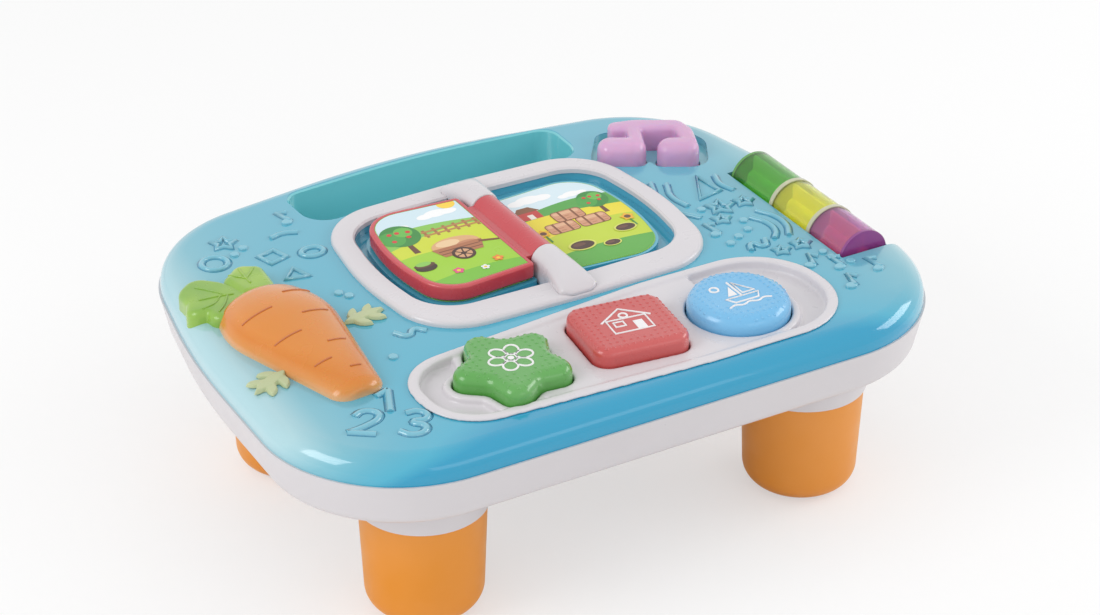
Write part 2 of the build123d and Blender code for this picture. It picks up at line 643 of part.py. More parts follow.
def speaker():
    """Shallow cone in a steel basket with its magnet behind."""
    low = BASE_BOTTOM + WALL
    body = disc(SPEAKER_CENTRE, SPEAKER_R, low, low + 2.5)
    body += loft([Pos(*SPEAKER_CENTRE, low + 2.5) * Circle(25), Pos(*SPEAKER_CENTRE, low + 10) * Circle(15)])
    body += disc(SPEAKER_CENTRE, 15, low + 10, low + 17)
    return body - loft([Pos(*SPEAKER_CENTRE, low) * Circle(24), Pos(*SPEAKER_CENTRE, low + 8) * Circle(8)])


def speaker_clamp():
    low = BASE_BOTTOM + WALL + 5
    ring = disc(SPEAKER_CENTRE, SPEAKER_R + WALL, low, low + 1.6)
    return ring - disc(SPEAKER_CENTRE, SPEAKER_R - 3, low - 1, low + 3)


def batteries():
    cells = []
    for row in (-1, 0, 1):
        place = Plane(origin=(BAY_CENTRE[0] - CELL_LENGTH / 2, BAY_CENTRE[1] + row * CELL_PITCH, CELL_Z),
                      x_dir=(0, 1, 0), z_dir=(1, 0, 0))
        cell = extrude(place * Circle(CELL_R), amount=CELL_LENGTH - 1.5)
        cells.append(cell + extrude(place * Circle(2.7), amount=CELL_LENGTH))
    return Compound(children=cells)


def battery_contacts():
    """Sheet contacts at both ends of the cells."""
    plates = []
    for side in (-1, 1):
        x = BAY_CENTRE[0] + side * (BAY_SIZE[0] / 2 - 0.9)
        plates += [box((x, BAY_CENTRE[1] + row * CELL_PITCH), (1.0, 11), CELL_Z - 6, CELL_Z + 6)
                   for row in (-1, 0, 1)]
    return Compound(children=plates)


def battery_door():
    door = slab(door_outline(), BASE_BOTTOM, BASE_BOTTOM + 1.1)
    door += box(BAY_CENTRE, (BAY_SIZE[0] - 0.8, BAY_SIZE[1] - 0.8), BASE_BOTTOM, BASE_BOTTOM + DOOR_THICK, 2.6)
    door += disc(DOOR_SCREW, 5.0, BASE_BOTTOM, BASE_BOTTOM + 2.3)
    door -= disc(DOOR_SCREW, 3.1, BASE_BOTTOM - 1, BASE_BOTTOM + 1.3)
    return door - disc(DOOR_SCREW, 1.6, BASE_BOTTOM, BASE_BOTTOM + 3)


def power_switch():
    x, y = SWITCH_CENTRE
    low = BASE_BOTTOM + WALL
    body = box((x + SWITCH_TRAVEL / 2, y), (26, 10), low + 2.2, low + 8)
    knob = box((x, y), (5, 5.4), BASE_BOTTOM - 1.5, low + 0.4, 1.0) + box((x, y), (9, 9), low + 0.3, low + 1.9)
    return {"power_switch": body, "power_switch_knob": knob}


def screw(place, head_low, head_r, shank_r, length, head=2.0):
    """Pan-head screw driven upwards."""
    return disc(place, head_r, head_low, head_low + head) + disc(place, shank_r, head_low + head, head_low + length)


def screws():
    case = [screw(place, BOSS_BOTTOM - WALL - 2.0, 2.9, 1.3, 14) for place in CASE_SCREWS]
    board = [screw(place, BOARD_TOP - BOARD_THICK - 2.0, 2.4, 1.1, 11) for place in TRAY_POSTS]
    door = screw(DOOR_SCREW, BASE_BOTTOM - 0.1, 2.8, 1.2, 8.5, head=1.4)
    return {"case_screws": Compound(children=case), "board_screws": Compound(children=board), "door_screw": door}


def all_parts():
    parts = {"top_shell": top_shell(), "base_shell": base_shell(), "button_tray": button_tray()}
    parts |= {name: leg(place) for name, place in leg_places().items()}
    centres = {"star_button": STAR_CENTRE, "square_button": SQUARE_CENTRE, "round_button": ROUND_CENTRE}
    for name, face in button_faces().items():
        parts[name] = press_button(face, centres[name], BUTTON_ROUNDS[name])
        parts[name.replace("button", "dome")] = dome(centres[name], BOARD_TOP, DOME_TOP)
    parts |= {"switch_board": switch_board(), "note_button": note_button(), "note_board": note_board()}
    parts["note_dome"] = note_place(dome((0, 0), BOARD_TOP, BASIN_FLOOR - WALL - 2.7 - PLUNGER_GAP))
    parts |= {"book_frame": book_frame(), "book_page": book_page(), "page_pin": page_pin()}
    parts |= prints()
    parts |= {name: bearing_cap(*cap) for name, cap in CAPS.items()}
    parts |= roller_parts()
    parts["roller_bush_front"] = roller_bush(SLOT_FRONT - WALL, SLOT_FRONT)
    parts["roller_bush_back"] = roller_bush(SLOT_BACK, SLOT_BACK + WALL)
    parts |= {"carrot_body": carrot_body(), "carrot_leaves": carrot_leaves(),
              "sprigs": Compound(children=sprigs())}
    parts |= {"lights": lights(), "main_board": main_board(), "main_chips": main_chips()}
    parts |= {"speaker": speaker(), "speaker_clamp": speaker_clamp()}
    parts |= {"batteries": batteries(), "battery_contacts": battery_contacts(), "battery_door": battery_door()}
    return parts | power_switch() | screws()


os.makedirs("parts", exist_ok=True)
for node, shape in all_parts().items():
    export_step(shape, f"parts/{node}.step")
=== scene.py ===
import json
from math import cos, pi, radians, sin, tan

import bmesh
import bpy
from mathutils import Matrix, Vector
from mathutils.bvhtree import BVHTree


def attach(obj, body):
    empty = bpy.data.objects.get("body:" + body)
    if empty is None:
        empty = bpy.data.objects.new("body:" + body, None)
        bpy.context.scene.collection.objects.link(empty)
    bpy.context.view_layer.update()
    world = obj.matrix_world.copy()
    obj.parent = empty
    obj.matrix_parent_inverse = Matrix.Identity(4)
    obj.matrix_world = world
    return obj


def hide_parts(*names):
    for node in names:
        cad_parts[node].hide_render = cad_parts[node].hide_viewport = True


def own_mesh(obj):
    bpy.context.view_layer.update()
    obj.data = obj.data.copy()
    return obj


# Activity table: finishes, printed pictures, raised relief and small trim around the solids.
# Shapes are drawn in millimetres and scaled by MM. Shaders, lamps and the camera are in metres.

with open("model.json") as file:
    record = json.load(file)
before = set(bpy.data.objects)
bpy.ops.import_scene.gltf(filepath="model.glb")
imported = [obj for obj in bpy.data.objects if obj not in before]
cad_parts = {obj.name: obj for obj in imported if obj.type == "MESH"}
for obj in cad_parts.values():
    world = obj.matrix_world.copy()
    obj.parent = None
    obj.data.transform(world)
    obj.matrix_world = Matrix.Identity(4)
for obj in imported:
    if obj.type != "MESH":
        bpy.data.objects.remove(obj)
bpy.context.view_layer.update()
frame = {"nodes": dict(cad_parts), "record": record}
nodes = frame["nodes"]
MM = 0.001

# Heights shared with the solids
TOP = 135.0
BUTTON_TOP = 146.0
PAGE_TOP, PAGE_UNDERSIDE = 144.9, 135.1
BOOK_FLOOR = 134.1

# Press buttons by body: slot, centre, turn and distance between the raised dots
BUTTONS = {
    "star": ("button_green", (-72.6, -110.3), 0.0, 4.6),
    "square": ("button_red", (6.2, -108.0), radians(-7), 4.3),
    "round": ("button_blue", (80.0, -113.0), 0.0, 4.3),
}

# Places shared with the solids. A corner of the page is x, y and the corner's radius
CARROT_CROWN, CARROT_TIP = Vector((-166.0, 34.0)), Vector((-156.0, -90.0))
HINGE_X, SPINE_HALF = 7.0, 12.3
PAGE = [(-5, -20, 3), (-70, -25, 24), (-80, 29, 150), (-70, 83, 24), (-5, 78, 3)]

# How far each picture keeps clear of its card's edge
PAGE_MARGIN, LEFT_MARGIN, RIGHT_MARGIN = 3.7, 2.4, 0.4

# Middle of the left and of the right picture
LEFT_PICTURE, RIGHT_PICTURE = -41, 55

# Dots on the buttons. The profile gives share of radius and share of height
DOT_R, DOT_RISE, DOT_SIDES, DOT_ROWS = 1.15, 0.5, 8, 9
DOT_PROFILE = ((1.0, -0.1), (0.72, 0.62))

# Dots end this far below a button's top, and where its surface faces up less than this
DOTTED_DEPTH, FACING_UP = 6, 0.5

# Icons on the buttons: the dots leave a round place free for them
ICON_R, ICON_SCALE, ICON_LIFT = 17.0, 1.12, 0.05
ICON_LINE_R = 0.7
PATCH_HALF, PATCH_EDGE = 0.12, 0.15

# Creases of the carrot and veins of its leaves
CREASE_R, CREASE_LIFT, CREASE_BOW, CREASE_STEPS = 0.55, 0.15, 3.0, 6
CARROT_HALF = 30
VEIN_R, VEIN_LIFT = 0.6, 0.1

# Relief on the top: radius of the lines and digits, and of the painted shade band round each
RELIEF_R, RELIEF_SHADE_R = 1.8, 2.8
DIGIT_R, DIGIT_SHADE_R, DIGIT_SINK, DIGIT_TURN = 2.2, 3.3, 0.5, radians(-30)

# The painted shade band keeps this share of its height
SHADE_BAND_SHARE = 0.06

# Flat spots of the relief: half their thickness, the radius of their edge and their lift
SPOT_HALF, SPOT_EDGE, SPOT_LIFT = 0.5, 0.6, 0.2

# Printed shapes: height of the first above its card, and of each above the one before
PRINT_LIFT, PRINT_STEP = 0.03, 0.006
SKY_HALF, HILL_DEPTH, HILL_STEPS = 60, 60, 24

# Printed colours that are used more than once
CLOUD_WHITE = "FFFFFF"
BARK, WOOD, DARK_WOOD = "6B4430", "7C4B31", "4A2D22"
STEM_GREEN, PALE_GREEN = "3E8E41", "8FCB5A"

# Studio, in metres
FLOOR_HALF, FLOOR_DROP = 6, 0.0005
LAMP_TARGET = Vector((0, 0, 0.1))
CAMERA_PLACE, CAMERA_AIM, CAMERA_REACH = (-0.7832, -1.3855, 1.0217), (0.4330, 0.7500, -0.5), 50

# The camera's lens and sensor, in millimetres
LENS, SENSOR = 98.18, 36.0

# Share of white glow that the camera sees on the floor, and the world's strength as a light
FLOOR_GLOW, WORLD_FILL = 0.5, 0.78

# Height in metres from which points are dropped on the solids
DROP_FROM = 0.3

# Steps between two points of a smooth curve
CURVE_STEPS = 6


# Colours and procedural materials
def lin(colour):
    """Screen colour written as RRGGBB, turned to linear light."""
    values = [int(colour[i:i + 2], 16) / 255 for i in (0, 2, 4)]
    return [v / 12.92 if v <= 0.04045 else ((v + 0.055) / 1.055) ** 2.4 for v in values] + [1.0]


def grey(value):
    return [value] * 3 + [1]


def mix(a, b, share):
    return [x * (1 - share) + y * share for x, y in zip(a, b)]


class Tree:
    """Short ways to add nodes to a node tree."""

    def __init__(self, tree):
        self.tree = tree

    def node(self, kind, **values):
        """New node. A name with in_ before it sets an input, any other name a property."""
        made = self.tree.nodes.new(kind)
        for key, value in values.items():
            if key.startswith("in_"):
                made.inputs[key[3:].replace("_", " ")].default_value = value
            else:
                setattr(made, key, value)
        return made

    def link(self, a, b):
        self.tree.links.new(a, b)

    def math(self, kind, a, b):
        made = self.node("ShaderNodeMath", operation=kind)
        for socket, value in zip(made.inputs, (a, b)):
            if isinstance(value, (int, float)):
                socket.default_value = value
            else:
                self.link(value, socket)
        return made.outputs[0]

    def plus(self, a, b):
        return self.math("ADD", a, b)

    def minus(self, a, b):
        return self.math("SUBTRACT", a, b)

    def times(self, a, b):
        return self.math("MULTIPLY", a, b)

    def below(self, a, b):
        """1 where a is less than b, else 0."""
        return self.math("LESS_THAN", a, b)

    def distance(self, a, b):
        return self.math("ABSOLUTE", self.minus(a, b), 0.0)

    def excess(self, a, b):
        """How far a is above b, or 0."""
        return self.math("MAXIMUM", self.minus(a, b), 0.0)


class Shader(Tree):
    """A principled material."""

    def __init__(self, name):
        self.material = bpy.data.materials.new(name)
        self.material.use_nodes = True
        super().__init__(self.material.node_tree)
        self.bsdf = self.tree.nodes["Principled BSDF"]

    def set(self, **values):
        for key, value in values.items():
            self.bsdf.inputs[key.replace("_", " ")].default_value = value

    def feed(self, output, *names):
        for name in names:
            self.link(output, self.bsdf.inputs[name])

    def place(self):
        return self.node("ShaderNodeTexCoord").outputs["Object"]

    def axis(self, name):
        made = self.node("ShaderNodeSeparateXYZ")
        self.link(self.place(), made.inputs[0])
        return made.outputs[name]

    def noise(self, scale, detail):
        made = self.node("ShaderNodeTexNoise", in_Scale=scale, in_Detail=detail)
        self.link(self.place(), made.inputs["Vector"])
        return made.outputs["Fac"]

    def ramp(self, fac, stops):
        """Colour bands. A stop is a position and a colour, as RRGGBB or as four linear values."""
        made = self.node("ShaderNodeValToRGB")
        band = made.color_ramp
        while len(band.elements) < len(stops):
            band.elements.new(0.5)
        for element, (at, colour) in zip(band.elements, stops):
            element.position = at
            element.color = lin(colour) if isinstance(colour, str) else colour
        self.link(fac, made.inputs["Fac"])
        return made.outputs["Color"]

    def bump(self, height, strength, distance):
        made = self.node("ShaderNodeBump", in_Strength=strength, in_Distance=distance)
        self.link(height, made.inputs["Height"])
        self.feed(made.outputs["Normal"], "Normal")


def plastic(name, colour, rough=0.3, coat=0.3, vary=0.06, grain=0.15, grain_scale=900, **extra):
    """Moulded plastic: faint colour drift, uneven gloss and a fine skin."""
    shader = Shader(name)
    drift_scale, gloss_scale, skin_depth = 9.0, 60.0, 0.0001
    base, black, white = lin(colour), grey(0), grey(1)
    drift = [(0.3, mix(base, black, vary)), (0.7, mix(base, white, vary))]
    gloss = [(0.25, grey(rough * 0.75)), (0.75, grey(min(1, rough * 1.3)))]
    shader.feed(shader.ramp(shader.noise(drift_scale, detail=4.0), drift), "Base Color")
    shader.feed(shader.ramp(shader.noise(gloss_scale, detail=5.0), gloss), "Roughness")
    shader.set(Coat_Weight=coat, Coat_Roughness=0.08, IOR=1.47)
    shader.bump(shader.noise(grain_scale, detail=2.0), grain, skin_depth)
    shader.set(**extra)
    return shader


def pocket_light_mask(shader, x, y, z):
    """1 inside the trough and the basin of the note button, else 0: where the blue is painted paler as
    painted light against the shade of these hollows.
    """
    trough_x, trough_half, trough_front, trough_back = 0.006, 0.0985, 0.104, 0.1612
    basin_x, basin_half_x, basin_y, basin_half_y = 0.1436, 0.042, 0.092, 0.036
    rim_z = 0.1345
    side = shader.minus(x, trough_x)
    back_line = shader.plus(y, shader.times(side, side))
    behind = shader.math("GREATER_THAN", y, trough_front)
    trough = shader.times(shader.below(shader.distance(x, trough_x), trough_half), behind)
    trough = shader.times(trough, shader.below(back_line, trough_back))
    basin = shader.times(shader.below(shader.distance(x, basin_x), basin_half_x),
                         shader.below(shader.distance(y, basin_y), basin_half_y))
    return shader.times(shader.math("MAXIMUM", trough, basin), shader.below(z, rim_z))


def blue_top():
    """Glossy blue with painted light: painted shade along the front band and down the walls, painted
    reflection towards the sides and the back.
    """
    shader = Shader("top_blue")
    x, y, z = (shader.axis(name) for name in "XYZ")
    middle_x, front_y, band_y, shoulder_z = 0.002, -0.172, -0.135, 0.1335
    side_rate, side_power, back_rate, depth_rate, band_rate = 4.6, 5.0, 0.93, 22.0, 7.0
    drift_scale, drift_share, gloss_scale, skin_scale = 5.0, 0.25, 40.0, 260
    # Painted reflection: the sides and the back are painted paler, standing in for the white room's
    # glare on the gloss.
    painted_side_reflection = shader.math("POWER", shader.times(shader.distance(x, middle_x), side_rate), side_power)
    painted_back_reflection = shader.times(shader.minus(y, front_y), back_rate)
    drift = shader.times(shader.noise(drift_scale, detail=2.0), drift_share)
    # Painted shade: the walls below the shoulder and the band along the front are painted darker. Only
    # the drift is the plastic's own random tone.
    depth = shader.times(shader.excess(shoulder_z, z), depth_rate)
    band = shader.times(shader.excess(band_y, y), band_rate)
    pale = shader.plus(shader.plus(painted_side_reflection, painted_back_reflection), drift)
    pale = shader.minus(shader.minus(pale, depth), band)
    # The ramp runs from painted shade, deep blue, to painted reflection, pale blue.
    tints = [(0.0, "189AC2"), (0.16, "44AECB"), (0.4, "5AB0C8"), (0.7, "76B9CA"), (1.0, "A9D0D8")]
    shade = shader.ramp(pale, tints)
    blend = shader.node("ShaderNodeMix", data_type="RGBA")
    shader.link(pocket_light_mask(shader, x, y, z), blend.inputs["Factor"])
    shader.link(shade, blend.inputs["A"])
    # Painted light: the trough and the basin take a paler blue that lifts their shade.
    blend.inputs["B"].default_value = lin("7ACDD5")
    shader.feed(blend.outputs["Result"], "Base Color")
    gloss = [(0.3, grey(0.1)), (0.7, grey(0.17))]
    shader.feed(shader.ramp(shader.noise(gloss_scale, detail=5.0), gloss), "Roughness")
    shader.set(Coat_Weight=0.6, Coat_Roughness=0.03, IOR=1.48)
    shader.bump(shader.noise(skin_scale, detail=2.0), strength=0.10, distance=0.0002)
    return shader.material


def clear(name, colour, rough, through):
    """Tinted clear plastic, a little milky."""
    return plastic(name, colour, rough=rough, coat=0.5, vary=0.04, grain=0.05, IOR=1.35,
                   Transmission_Weight=through, Subsurface_Weight=0.2, Subsurface_Scale=0.01).material


def along_roller(shader):
    """Share of the roller's length, counted from its front end."""
    front_y, per_metre = -0.1, 7.0
    return shader.times(shader.minus(shader.axis("Y"), front_y), per_metre)


def disc_skin():
    """Clear pale plastic whose two end discs take the tint of the drum beside them."""
    shader = plastic("roller_clear", "DDE5C8", rough=0.15, coat=0.5, vary=0.04, grain=0.05,
                     Transmission_Weight=0.3, IOR=1.35)
    tints = [(0.0, "A94FA0"), (0.09, "A94FA0"), (0.1, "E3E3C4"), (0.91, "E3E3C4"), (0.92, "6FB85A")]
    shader.feed(shader.ramp(along_roller(shader), tints), "Base Color")
    return shader.material


def glowing_core_skin():
    """White core whose light shapes take an orange, yellow or green cast inside the three drums, and
    which glows faintly as painted light.
    """
    # The emission is painted light: the core glows to stand in for light that reaches it through the
    # drums.
    shader = plastic("roller_core", "F4F3F0", Emission_Strength=0.35)
    tints = [(0.3, "F2A66C"), (0.34, "F7EFB4"), (0.6, "F7EFB4"), (0.64, "E6F2CE")]
    shader.feed(shader.ramp(along_roller(shader), tints), "Base Color", "Emission Color")
    return shader.material


def carrot_skin():
    """Glossy orange, mottled, and paler along the foot as a painted highlight."""
    shader = plastic("carrot_orange", "D67D1A", rough=0.24, coat=0.45, Subsurface_Weight=0.08,
                     Subsurface_Scale=0.005)
    per_metre, mottle_scale, mottle_share = 70.0, 24.0, 0.2
    height = shader.times(shader.minus(shader.axis("Z"), TOP * MM), per_metre)
    height = shader.plus(height, shader.times(shader.noise(mottle_scale, detail=2.0), mottle_share))
    # Pale peach low on the root is a painted highlight.
    tints = [(0.1, "E7B384"), (0.4, "DA8C3C"), (0.75, "D67D1A"), (1.0, "DB8730")]
    shader.feed(shader.ramp(height, tints), "Base Color")
    return shader.material


def leaf_skin():
    """Bright leaf green with lighter and darker patches."""
    shader = plastic("leaf_green", "93B94A", rough=0.28, coat=0.45)
    patch_scale = 34.0
    tints = [(0.3, "7CAB3E"), (0.6, "95BC45"), (0.8, "B2CC5A")]
    shader.feed(shader.ramp(shader.noise(patch_scale, detail=2.0), tints), "Base Color")
    return shader.material


inks = {}


def ink(colour):
    """Printed colour under a thin glossy film, made once for each colour."""
    if colour not in inks:
        inks[colour] = plastic("ink_" + colour, colour, rough=0.35, coat=0.15, vary=0.03, grain=0.08,
                               Specular_IOR_Level=0.3).material
    return inks[colour]


# Plain finishes, by material slot
PLAIN = {
    "base_white": dict(colour="D2CED1", rough=0.36, coat=0.2, vary=0.03),
    "tray_white": dict(colour="DAD6DA", coat=0.35, vary=0.03),
    "leg_orange": dict(colour="E48E1D", rough=0.4, coat=0.05, vary=0.05, Specular_IOR_Level=0.3,
                       Sheen_Weight=0.25, Sheen_Roughness=0.35, Sheen_Tint=(1.0, 0.8, 0.42, 1)),
    "button_green": dict(colour="55A644", rough=0.26, coat=0.5),
    "button_red": dict(colour="CB4A48", rough=0.28, coat=0.5),
    "button_blue": dict(colour="6CBBEA", rough=0.26, coat=0.5),
    "book_red": dict(colour="CC3B46", rough=0.25, coat=0.5),
    "sprig_green": dict(colour="BAC596", rough=0.45, coat=0.1),
    "steel": dict(colour="A9AAAD", rough=0.35, coat=0.0, grain=0.3, grain_scale=1800, Metallic=1.0),
    "board_green": dict(colour="1D6B3F", rough=0.35, coat=0.4, vary=0.12),
    "black_plastic": dict(colour="1C1D20", rough=0.5, coat=0.0),
    "rubber_grey": dict(colour="8F9296", rough=0.8, coat=0.0, grain=0.5),
    "battery_jacket": dict(colour="34507F", coat=0.4),
}

# Clear finishes, by material slot: colour, roughness and share of light let through
CLEAR = {
    "note_purple": ("F4C2EC", 0.06, 0.28),
    "roller_green": ("6AC548", 0.06, 0.8),
    "roller_yellow": ("ECEE55", 0.06, 0.8),
    "roller_purple": ("D284CC", 0.06, 0.8),
    "lamp_clear": ("F0F0EA", 0.12, 0.8),
}

FINISH = {slot: plastic(slot, **looks).material for slot, looks in PLAIN.items()}
FINISH.update({slot: clear(slot, *looks) for slot, looks in CLEAR.items()})
FINISH.update({"top_blue": blue_top(), "roller_clear": disc_skin(), "roller_core": glowing_core_skin(),
               "carrot_orange": carrot_skin(), "leaf_green": leaf_skin(), "print": ink("8CC84B")})

# Finishes of the added trim
# Deeper blue for the flat band round the relief: painted shade at the foot of the ridges.
painted_shade_blue = plastic("top_blue_painted_shade", "3493B8", rough=0.22, coat=0.5, vary=0.05).material
# Paler blue for the ridges and digits: a painted highlight on their crests.
relief_highlight_blue = plastic("top_blue_relief_highlight", "6FBBD0", rough=0.12, coat=0.8, vary=0.05, grain=0.08).material
icon_white = plastic("icon_white", "F3F1F2", rough=0.35, coat=0.2, vary=0.02).material
# Darker orange for the crease ridges: painted shade standing in for the shade in the root's grooves.
crease_shade_orange = plastic("carrot_crease", "C4661A", coat=0.4).material

SLOTS = {part["node"]: part["material_slot"] for part in frame["record"]["subparts"]}
for node, slot in SLOTS.items():
    nodes[node].data.materials.clear()
    nodes[node].data.materials.append(FINISH[slot])


# Flat shapes: lists of points
def oval(x, y, rx, ry, count=28):
    return [(x + rx * cos(2 * pi * i / count), y + ry * sin(2 * pi * i / count)) for i in range(count)]


def circle(x, y, radius, count=28):
    return oval(x, y, radius, radius, count)


def star(radius, valley, centre, turn):
    """Five points outwards and five valleys between them."""
    points = []
    for i in range(10):
        reach, angle = valley if i % 2 else radius, turn + pi * i / 5
        points.append((centre[0] + reach * cos(angle), centre[1] + reach * sin(angle)))
    return points


def turned(points, angle, centre=(0, 0), scale=1.0):
    """The points scaled and turned about the origin, then moved to a centre."""
    c, s = cos(angle) * scale, sin(angle) * scale
    return [(centre[0] + x * c - y * s, centre[1] + x * s + y * c) for x, y in points]


def rounded(corners, steps=8):
    """Points along a closed outline given as (x, y, corner radius).

    A corner that has no radius, or that hardly bends, stays one point.
    """
    points, straight = [], 1e-3
    for i, (x, y, radius) in enumerate(corners):
        here = Vector((x, y))
        a = (Vector(corners[i - 1][:2]) - here).normalized()
        b = (Vector(corners[(i + 1) % len(corners)][:2]) - here).normalized()
        half = a.angle(b) / 2
        if radius == 0 or abs(half - pi / 2) < straight:
            points.append(here)
            continue
        centre = here + (a + b).normalized() * (radius / sin(half))
        start, end = here + a * (radius / tan(half)), here + b * (radius / tan(half))
        spoke = start - centre
        turn = spoke.angle_signed(end - centre)
        for j in range(steps + 1):
            angle = -turn * j / steps
            points.append(centre + Vector((spoke.x * cos(angle) - spoke.y * sin(angle),
                                           spoke.x * sin(angle) + spoke.y * cos(angle))))
    return [(p.x, p.y) for p in points]


def bar(x0, y0, x1, y1, soft=0.0):
    """Upright rectangle with soft corners."""
    x0, x1 = sorted((x0, x1))
    return rounded([(x0, y0, soft), (x1, y0, soft), (x1, y1, soft), (x0, y1, soft)], 4)


def shrunk(corners, by):
    """A rounded outline moved inwards by a distance, its corner radii reduced to match."""
    moved, least = [], 0.5
    middle = sum((Vector(c[:2]) for c in corners), Vector((0, 0))) / len(corners)
    for i, (x, y, radius) in enumerate(corners):
        here, inwards = Vector((x, y)), []
        for other in (corners[i - 1], corners[(i + 1) % len(corners)]):
            way = (Vector(other[:2]) - here).normalized()
            across = Vector((-way.y, way.x))
            inwards.append(across if across.dot(middle - here) > 0 else -across)
        a, b = inwards
        step = (a + b) * (by / (1 + a.dot(b)))
        moved.append((x + step.x, y + step.y, max(radius - by, least)))
    return moved


def mirrored(corners):
    """A rounded outline on the other side of the book's hinge."""
    return [(2 * HINGE_X - x, y, radius) for x, y, radius in reversed(corners)]


def counter_clockwise(points):
    area = sum(a[0] * b[1] - b[0] * a[1] for a, b in zip(points, points[1:] + points[:1]))
    return points if area > 0 else points[::-1]


def clip(shape, window):
    """The part of a flat shape that lies inside a convex outline, both counter-clockwise."""
    no_length = 1e-6
    for i, a in enumerate(window):
        b = window[(i + 1) % len(window)]
        if abs(a[0] - b[0]) + abs(a[1] - b[1]) < no_length:
            continue

        def side(p):
            return (b[0] - a[0]) * (p[1] - a[1]) - (b[1] - a[1]) * (p[0] - a[0])

        kept = []
        for j, q in enumerate(shape):
            p = shape[j - 1]
            if side(p) * side(q) < 0:
                t = side(p) / (side(p) - side(q))
                kept.append((p[0] + t * (q[0] - p[0]), p[1] + t * (q[1] - p[1])))
            if side(q) >= 0:
                kept.append(q)
        shape = kept
        if not shape:
            break
    return shape


# Splines for curve_mesh: points, whether they close, and whether they are smooth
def line(points):
    return points, False, False


def bend(points):
    return points, False, True


def polygon(points):
    return points, True, False


def loop(points):
    return points, True, True


# Meshes and pieces
def new_object(name, mesh, material, body):
    piece = bpy.data.objects.new(name, mesh)
    bpy.context.scene.collection.objects.link(piece)
    if material:
        mesh.materials.append(material)
    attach(piece, body)
    return piece


def smooth(mesh):
    mesh.polygons.foreach_set("use_smooth", [True] * len(mesh.polygons))
    return mesh


def finished(shell, name):
    """The mesh of a bmesh, which is freed."""
    mesh = bpy.data.meshes.new(name)
    shell.to_mesh(mesh)
    shell.free()
    return mesh


def joined(meshes):
    """One mesh out of several."""
    whole = bmesh.new()
    for mesh in meshes:
        whole.from_mesh(mesh)
        bpy.data.meshes.remove(mesh)
    return finished(whole, "joined")


def evaluated(source):
    """Mesh of an object as its modifiers or its bevel leave it."""
    bpy.context.view_layer.update()
    return bpy.data.meshes.new_from_object(source.evaluated_get(bpy.context.evaluated_depsgraph_get()))


def curve_mesh(splines, extrude=0.0, bevel=0.0, z=0.0, fill=True, depth=2):
    """Mesh of raised shapes: filled plates, or round ridges where fill is off."""
    data = bpy.data.curves.new("line", "CURVE")
    data.dimensions = "2D" if fill else "3D"
    data.fill_mode = "BOTH" if fill else "FULL"
    data.extrude, data.bevel_depth = extrude * MM, bevel * MM
    data.bevel_resolution, data.resolution_u = depth, CURVE_STEPS
    data.use_fill_caps = not fill
    for points, closed, curved in splines:
        spline = data.splines.new("BEZIER" if curved else "POLY")
        knots = spline.bezier_points if curved else spline.points
        knots.add(len(points) - 1)
        for knot, p in zip(knots, points):
            place = [v * MM for v in (*p, 0)[:3]]
            knot.co = place if curved else place + [1]
            if curved:
                knot.handle_left_type = knot.handle_right_type = "AUTO"
        spline.use_cyclic_u = closed
    source = bpy.data.objects.new("line", data)
    source.location.z = z * MM
    bpy.context.scene.collection.objects.link(source)
    mesh = evaluated(source)
    mesh.transform(source.matrix_world)
    bpy.data.objects.remove(source)
    return smooth(mesh)


def flattened(mesh):
    """Round ridges pressed down to a thin band on the top, which carries the painted shade."""
    for vert in mesh.vertices:
        vert.co.z = TOP * MM + (vert.co.z - TOP * MM) * SHADE_BAND_SHARE
    return mesh


# Floor, light and camera
def floor():
    """Pale floor that the camera sees a little brighter than its light makes it."""
    mesh = bpy.data.meshes.new("floor")
    corners = [(x * FLOOR_HALF, y * FLOOR_HALF, 0) for x, y in ((-1, -1), (1, -1), (1, 1), (-1, 1))]
    mesh.from_pydata(corners, [], [(0, 1, 2, 3)])
    ground = bpy.data.objects.new("floor", mesh)
    ground.location.z = -FLOOR_DROP
    bpy.context.scene.collection.objects.link(ground)
    shader = Shader("floor")
    shader.set(Base_Color=(0.97, 0.97, 0.97, 1), Roughness=0.9, Specular_IOR_Level=0.1)
    glow = shader.node("ShaderNodeEmission", in_Color=(1, 1, 1, 1), in_Strength=1.0)
    blend = shader.node("ShaderNodeMixShader")
    rays = shader.node("ShaderNodeLightPath").outputs
    shader.link(shader.times(rays["Is Camera Ray"], FLOOR_GLOW), blend.inputs["Fac"])
    shader.link(shader.bsdf.outputs["BSDF"], blend.inputs[1])
    shader.link(glow.outputs["Emission"], blend.inputs[2])
    shader.link(blend.outputs["Shader"], shader.tree.nodes["Material Output"].inputs["Surface"])
    mesh.materials.append(shader.material)


def surroundings():
    """White world, weaker as a light than in the picture, in reflections and through clear parts."""
    world = bpy.data.worlds.new("studio")
    bpy.context.scene.world = world
    world.use_nodes = True
    tree = Tree(world.node_tree)
    rays = tree.node("ShaderNodeLightPath").outputs
    through = tree.math("MAXIMUM", rays["Is Glossy Ray"], rays["Is Transmission Ray"])
    seen = tree.math("MAXIMUM", rays["Is Camera Ray"], through)
    strength = tree.node("ShaderNodeMapRange", in_To_Min=WORLD_FILL, in_To_Max=1.0)
    tree.link(seen, strength.inputs["Value"])
    background = world.node_tree.nodes["Background"]
    background.inputs["Color"].default_value = (1, 1, 1, 1)
    tree.link(strength.outputs["Result"], background.inputs["Strength"])


def lamp(name, place, width, height, power):
    """Oblong lamp aimed at the table."""
    light = bpy.data.lights.new(name, "AREA")
    light.shape, light.size, light.size_y, light.energy = "RECTANGLE", width, height, power
    stand = bpy.data.objects.new(name, light)
    stand.location = place
    stand.rotation_euler = (LAMP_TARGET - Vector(place)).to_track_quat("-Z", "Y").to_euler()
    bpy.context.scene.collection.objects.link(stand)


